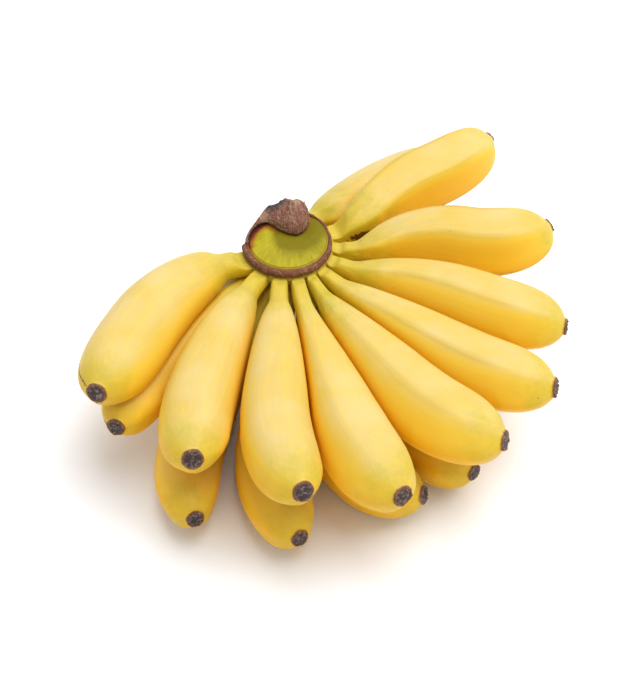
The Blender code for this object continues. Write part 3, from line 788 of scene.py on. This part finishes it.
def makeCrown():
    count = crownForm["around"]
    bearing = np.arange(count) * 2 * math.pi / count
    edge = crownEdge(bearing)
    outward = np.stack([np.cos(bearing), np.sin(bearing)], axis=1)
    neckSide = smoothStep(-np.cos(bearing - math.radians(crown["backBearing"])), -0.6, -0.3)
    rows = []
    for share in np.linspace(0.04, 0.96, 34):
        rows.append((share * edge, crown["face"] + crownForm["dome"] - crownForm["dome"] * share ** 2, 1.0))
    corner = crownForm["cornerRadius"]
    for angle in np.linspace(0, math.pi / 2, 6):
        inward, down = corner * (1 - math.sin(angle)), corner * (1 - math.cos(angle))
        rows.append((edge - inward, crown["face"] - down, math.cos(angle)))
    for level in np.linspace(49.4, 27, 24):
        bulge = crownForm["bulge"] * neckSide * math.exp(-((level - 44) / 4.2) ** 2)
        rough = np.array([noise.noise(Vector((x * 2.2, y * 2.2, level * 0.09))) for x, y in outward])
        rough *= (1.1 + 1.4 * (1 - neckSide)) * smoothStep(-level, -49, -45)
        rows.append((edge + bulge + rough - 0.5 * smoothStep(-level, -45, -41), level, 0.0))
    for share, level in ((0.99, 25.2), (0.94, 23.8), (0.85, 22.9), (0.7, 22.3), (0.4, 22.05), (0.1, 22.0)):
        rows.append((edge * share, level, 0.0))
    points, cut, fromEdge = [(*crown["axis"], crown["face"] + crownForm["dome"])], [1.0], [20.0]
    for radius, level, onFace in rows:
        flat = crown["axis"] + outward * radius[:, None]
        points += [(x, y, level) for x, y in flat]
        cut += [onFace] * count
        fromEdge += list(edge - radius)
    points.append((*crown["axis"], crown["foot"]))
    cut.append(0.0)
    fromEdge.append(20.0)
    points, cut, fromEdge = np.array(points), np.array(cut), np.array(fromEdge)

    offset = points[:, :2] - crown["axis"]
    distance = fromStub(offset)
    hollow = np.exp(-(distance / 3.2) ** 2) * cut
    points[:, 2] -= crownForm["hollowDepth"] * hollow
    swell = noiseAt(points, 0.16)
    points[:, 2] += 0.6 * swell * cut * smoothStep(fromEdge, 0.5, 4)
    piece = newObject("crown_flesh", points * mm, (), ringFaces(len(rows), count))
    mesh = piece.data
    mesh.materials.append(crownMaterial)
    compass = np.degrees(np.arctan2(offset[:, 1], offset[:, 0])) % 360
    left = smoothStep(-offset[:, 0], 3, 10)
    # rust in a fine line at the cut edge and broad round the back of it, and brown along the stub's foot, wider and
    # stronger on the left
    backEdge = smoothStep(-np.abs(compass - 118), -72, -52)
    burnt = np.exp(-(fromEdge / 0.7) ** 2) * 0.7 + backEdge * np.exp(-(fromEdge / 2.6) ** 2) * 0.85
    burnt += (0.35 + 0.45 * left) * np.exp(-(distance / (1.2 + 2.2 * left)) ** 2)
    burnt *= cut
    # the torn spots are where one neck ends and the next begins
    for bearing, level in crownForm["nicks"]:
        across = np.radians(compass - bearing) * crown["radius"]
        burnt += 1.2 * np.exp(-(across / 0.8) ** 2 - ((points[:, 2] - level) / 0.9) ** 2) * (1 - cut)
    # the flat at the back, where the hand was cut from its stalk, has dried brown, darkest along its edges
    fromBack = np.abs((compass - crown["backBearing"] + 180) % 360 - 180)
    broad = noiseAt(points, 0.11, (4, 1, 9))
    fine = noiseAt(points, 0.35, (2, 7, 3))
    wandering = fromBack + 9 * broad + 5 * fine
    dried = 0.34 * smoothStep(-wandering, -32, -22) * (1 + 1.2 * broad)
    dried += 0.52 * np.exp(-((wandering - 27) / 3.4) ** 2) * (1 + 0.8 * fine)
    upright = points[:, 2] + 3 * fine
    atEnds = 0.7 * np.exp(-((upright - 24.5) / 2.0) ** 2) + 0.75 * smoothStep(upright, 44.5, 48)
    dried += smoothStep(-wandering, -36, -26) * atEnds
    burnt += dried * (1 - cut)
    # strands fan out from the stub: across them first, along them second, in mm
    fan = np.arctan2(offset[:, 1] - 10, offset[:, 0])
    reach = np.hypot(offset[:, 0], offset[:, 1] - 10)
    # hollow is painted shade round the stub, weaker on the left, that the material turns olive
    storeValues(
        mesh, cut=cut, hollow=1.5 * np.exp(-(distance / 11.0) ** 2) * (1 - 0.95 * left) * cut,
        burnt=np.clip(burnt, 0, 1.3), strand=np.stack([fan * 16, reach, points[:, 2] * 0.3], axis=1))
    outwardFaces(mesh)
    return piece


finishPiece(makeCrown(), "crown_flesh", "crown")
print("crown made")

# the corky rim; sizes are shares of the full section, at their places along it
rimForm = {
    "steps": 260, "sides": 26, "sunk": 0.9, "lump": 1.1, "lumpSpacing": 2.2, "seed": 3,
    "places": (0, 0.06, 0.2, 0.5, 0.62, 0.7, 0.8, 1), "sizes": (1.0, 1.12, 1.12, 1.05, 0.9, 0.62, 0.42, 0.32),
}


def makeRimTree():
    # a flattened section swept round the rim's path, then roughened along its normals
    tree, add, given, result = newGeometryTree("corky rim", {
        "Sides": "Int", "Depth": "Float", "Height": "Float", "Lump": "Float", "Lump Spacing": "Float",
        "Seed": "Float", "Cork": "Material",
    })
    path = add("GeometryNodeMeshToCurve", [given["Geometry"]])
    path = add("GeometryNodeSetCurveNormal", [path], mode="Z_UP")
    ring = add("GeometryNodeCurvePrimitiveCircle", {"Resolution": given["Sides"], "Radius": 0.5})
    shape = add("ShaderNodeCombineXYZ", [given["Depth"], given["Height"], 1.0])
    ring = add("GeometryNodeTransform", {"Geometry": ring, "Scale": shape})
    size = add("GeometryNodeInputNamedAttribute", {"Name": "size"})
    band = add("GeometryNodeCurveToMesh", {"Curve": path, "Profile Curve": ring, "Scale": size, "Fill Caps": True})
    place = add("GeometryNodeInputPosition")
    coarse = add("ShaderNodeMath", [1.0, given["Lump Spacing"]], operation="DIVIDE")
    lumps = add("ShaderNodeTexNoise", {
        "Vector": place, "W": given["Seed"], "Scale": coarse, "Detail": 3.0, "Roughness": 0.6}, noise_dimensions="4D")
    lumps = add("ShaderNodeMath", [lumps, 0.55], operation="SUBTRACT")
    lumps = add("ShaderNodeMath", [lumps, given["Lump"]], operation="MULTIPLY")
    normal = add("GeometryNodeInputNormal")
    offset = add("ShaderNodeVectorMath", {0: normal, "Scale": lumps}, operation="SCALE")
    band = add("GeometryNodeSetPosition", {"Geometry": band, "Offset": offset})
    endTree(add, result, band, given["Cork"])
    return tree


def makeRim():
    steps = rimForm["steps"]
    share = np.linspace(0, 1, steps + 1)
    bearing = np.radians(crown["rimStart"] + (crown["rimEnd"] - crown["rimStart"]) * share)
    size = relaxed(np.interp(share, rimForm["places"], rimForm["sizes"]), 8)
    depth = crown["rimDepth"] + rimForm["sunk"]
    radius = crown["radius"] - rimForm["sunk"] + depth / 2 * size
    flat = crown["axis"] + radius[:, None] * np.stack([np.cos(bearing), np.sin(bearing)], axis=1)
    level = crown["rimTop"] - (crown["rimTop"] - crown["rimFoot"]) / 2 * size
    piece = newObject("rim_cork", np.hstack([flat, level[:, None]]), [(i, i + 1) for i in range(steps)])
    size *= np.clip(np.minimum(share, 1 - share) * 90, 0.05, 1) ** 0.5
    storeValues(piece.data, size=size)
    mesh = runTree(piece, makeRimTree(), {
        "Sides": rimForm["sides"], "Depth": depth, "Height": crown["rimTop"] - crown["rimFoot"],
        "Lump": rimForm["lump"], "Lump Spacing": rimForm["lumpSpacing"], "Seed": float(rimForm["seed"]),
        "Cork": corkMaterial,
    })
    mesh.transform(Matrix.Scale(mm, 4))
    outwardFaces(mesh)
    return piece


finishPiece(makeRim(), "rim_cork", "crown_rim")
print("rim made")


def makeStrandTree():
    # scatters short dry strands over the stub of the stalk, lying along its skin
    tree, add, given, result = newGeometryTree("stalk strands", {
        "Density": "Float", "Length": "Float", "Thickness": "Float", "Spread": "Float", "Seed": "Int",
        "Husk": "Material",
    })
    facing = add("GeometryNodeInputNormal")
    upward = add("ShaderNodeSeparateXYZ", [facing], 2)
    upperSide = add("FunctionNodeCompare", [upward, 0.05], operation="GREATER_THAN")
    spots = add("GeometryNodeDistributePointsOnFaces", {
        "Mesh": given["Geometry"], "Selection": upperSide, "Density": given["Density"], "Seed": given["Seed"]})
    grain = add("GeometryNodeMeshIcoSphere", {"Radius": 0.5, "Subdivisions": 2})
    lay = add("FunctionNodeAxesToRotation", {
        "Primary Axis": spots.node.outputs["Normal"], "Secondary Axis": (0.62, -0.78, 0.0)})
    low = add("ShaderNodeMath", [given["Spread"], -1.0], operation="MULTIPLY")
    swing = add("FunctionNodeRandomValue", {2: low, 3: given["Spread"], 8: given["Seed"]}, 1)
    swing = add("ShaderNodeCombineXYZ", {2: swing})
    lay = add("FunctionNodeRotateRotation", [lay, swing], rotation_space="LOCAL")
    size = add("ShaderNodeCombineXYZ", [given["Length"], given["Thickness"], given["Thickness"]])
    vary = add("FunctionNodeRandomValue", {
        0: (0.5, 0.7, 0.5), 1: (1.5, 1.4, 1.2), 8: given["Seed"]}, data_type="FLOAT_VECTOR")
    size = add("ShaderNodeVectorMath", [size, vary], operation="MULTIPLY")
    strands = add("GeometryNodeInstanceOnPoints", {
        "Points": spots, "Instance": grain, "Rotation": lay, "Scale": size})
    tone = add("FunctionNodeRandomValue", {2: -0.4, 3: 0.75, 8: given["Seed"]}, 1)
    strands = add("GeometryNodeStoreNamedAttribute", {0: strands, "Name": "pale", "Value": tone}, domain="INSTANCE")
    shape = add("GeometryNodeJoinGeometry", {"Geometry": [given["Geometry"], strands]})
    endTree(add, result, shape, given["Husk"])
    return tree


def makeStub():
    rows = stubRows()
    lip, back, height = rows[:, :2], rows[:, 2:4], rows[:, 4]
    count = stubForm["around"]
    base = crown["face"] + 1.0 + crown["gap"] * 0.5
    # its back hangs over the crown's edge as a ragged sheet of bark, deepest in the middle
    turn = np.arctan2(back[:, 1], back[:, 0]) % (2 * math.pi)
    reach = np.hypot(back[:, 0], back[:, 1])
    back = back * (np.maximum(reach, crownEdge(turn) + stubForm["overhang"]) / reach)[:, None]
    hem = np.interp(np.degrees(turn), stubForm["hemBearings"], stubForm["hem"])
    hem = hem + 1.1 * np.array([noise.noise(Vector((i * 0.16, 3.0, 8.0))) for i in range(count)])
    # up from the lip to the crest, down to the hem, and back underneath in four rows
    loops, crest = [], stubForm["crest"]
    for share in np.linspace(0, 1, stubForm["across"]):
        if share < crest:
            level = base + height * (1 - (1 - share / crest) ** 2.8)
        else:
            fallen = math.sqrt(max(1 - ((share - crest) / (1 - crest)) ** 2, 0))
            level = base - hem + (height + hem) * fallen
        bulge = stubForm["lipBulge"] * math.sin(math.pi * min(share / 0.3, 1))
        loops.append((share, bulge, level, 0))
    drops = ((0.97, hem * 0.9), (0.6, 1.8), (0.2, 1.6), (0.05, 0.5))
    loops += [(share, 0.0, base - drop, 9) for share, drop in drops]
    points, lay = [], []
    for share, bulge, level, under in loops:
        flat = lip + (back - lip) * share - (back - lip) * bulge
        points += [(x, y, z) for (x, y), z in zip(flat, np.broadcast_to(level, count))]
        lay += [(i * 0.38, share * math.dist(lip[i], back[i]), under) for i in range(count)]
    faces = []
    for row in range(len(loops)):
        a, b = row * count, (row + 1) % len(loops) * count
        faces += [(a + i, b + i, b + i + 1, a + i + 1) for i in range(count - 1)]
    faces += [tuple(row * count + end for row in range(len(loops))) for end in (0, count - 1)]
    points, lay = np.array(points), np.array(lay)
    # pulled about like dry bark, in folds that run from the back to the lip
    lifted = smoothStep(points[:, 2], base - 0.2, base + 2.5)
    for i, p in enumerate(points):
        askew = lay[i, 0] - 0.7 * lay[i, 1]
        folds = noise.noise(Vector((askew * 0.3, lay[i, 1] * 0.1, 2.0)))
        creases = noise.noise(Vector((askew * 0.9, lay[i, 1] * 0.25, 5.0)))
        lumps = noise.noise(Vector(p) * 0.7 + Vector((7, 3, 1)))
        points[i, 2] += (1.2 * folds + 0.3 * creases + 0.5 * lumps) * lifted[i]
        points[i, 1] += 0.5 * folds * lifted[i]
    points[:, :2] += crown["axis"]
    piece = newObject("stub_husk", points, (), faces)
    outwardFaces(piece.data)
    mesh = runTree(piece, makeStrandTree(), {
        "Density": stubForm["density"], "Length": stubForm["strandLength"], "Thickness": stubForm["strandThickness"],
        "Spread": stubForm["spread"], "Seed": stubForm["seed"], "Husk": stubMaterial,
    })
    points = np.array([v.co for v in mesh.vertices])
    x, y = (points[:, :2] - crown["axis"]).T
    # rotten black at the back, and the same black below the stub's base as painted shade under the lip and down the
    # hem, with two straw-coloured patches
    rotten = 1.3 * np.exp(-((x + 6.5) / 6) ** 2 - ((y - 17.5) / 5) ** 2)
    rotten += 0.7 * smoothStep(-points[:, 2], -base - 0.7, -base + 0.1)
    pale = 0.7 * np.exp(-((x + 11) / 2.2) ** 2 - ((y - 10.5) / 2.5) ** 2)
    pale += 0.5 * np.exp(-((x - 3.5) / 2.5) ** 2 - ((y - 15) / 3) ** 2)
    storeValues(mesh, rotten=rotten, pale=pale * 0.8 + 0.7 * readValues(mesh, "pale"))
    mesh.transform(Matrix.Scale(mm, 4))
    mesh.update()
    return piece


finishPiece(makeStub(), "stub_husk", "stalk_stub")
print("stub made")

# floor and light in metres, camera in millimetres
studio = {
    "floorHalf": 8.0, "floor": "#F4F8FF", "world": "#FFFFFF", "worldStrength": 0.62,
    "keyPower": 66.0, "keySize": 2.2, "keyPlace": (0.62, 0.3, 2.1), "keyColour": "#FFFDF8",
    "target": (-4.5, -15.0, 40.0), "distance": 800.0, "elevation": 50.0, "lens": 91.7,
}


def makeStudio():
    reach = studio["floorHalf"]
    corners = [(x * reach, y * reach, 0) for x, y in ((-1, -1), (1, -1), (1, 1), (-1, 1))]
    floor = newObject("floor", corners, (), [(0, 1, 2, 3)])
    # matt paper: almost white, with no shine of its own
    material, add, shader, colours = newMaterial("matt white paper", studio)
    place = add("ShaderNodeTexCoord", output="Object")
    tooth = add("ShaderNodeTexNoise", {"Vector": place, "Scale": 1 / (0.6 * mm), "Detail": 1.0})
    bump = add("ShaderNodeBump", {"Strength": 0.05, "Distance": 0.1 * mm, "Height": tooth})
    feed(shader, {"Normal": bump, "Base Color": colours["floor"], "Roughness": 0.9, "Specular IOR Level": 0.1})
    floor.data.materials.append(material)

    world = bpy.data.worlds.new("soft white room")
    world.use_nodes = True
    feed(world.node_tree.nodes["Background"], {"Color": colours["world"], "Strength": studio["worldStrength"]})
    bpy.context.scene.world = world

    lamp = bpy.data.lights.new("softbox", "AREA")
    lamp.shape, lamp.size, lamp.size_y = "RECTANGLE", studio["keySize"], studio["keySize"]
    lamp.energy = studio["keyPower"]
    lamp.color = colours["keyColour"][:3]
    softbox = bpy.data.objects.new("softbox", lamp)
    softbox.location = studio["keyPlace"]
    softbox.rotation_euler = (Vector((0, 0, 0.03)) - softbox.location).to_track_quat("-Z", "Y").to_euler()
    bpy.context.scene.collection.objects.link(softbox)

    lens = bpy.data.cameras.new("camera")
    lens.lens, lens.sensor_width, lens.sensor_fit = studio["lens"], 36, "AUTO"
    camera = bpy.data.objects.new("camera", lens)
    climb = math.radians(studio["elevation"])
    away = Vector((0, -math.cos(climb), math.sin(climb)))
    camera.location = (Vector(studio["target"]) + away * studio["distance"]) * mm
    camera.rotation_euler = (math.pi / 2 - climb, 0, 0)
    bpy.context.scene.collection.objects.link(camera)
    bpy.context.scene.camera = camera
    bpy.context.scene.view_settings.view_transform = "Standard"


makeStudio()
print("floor, light and camera set")
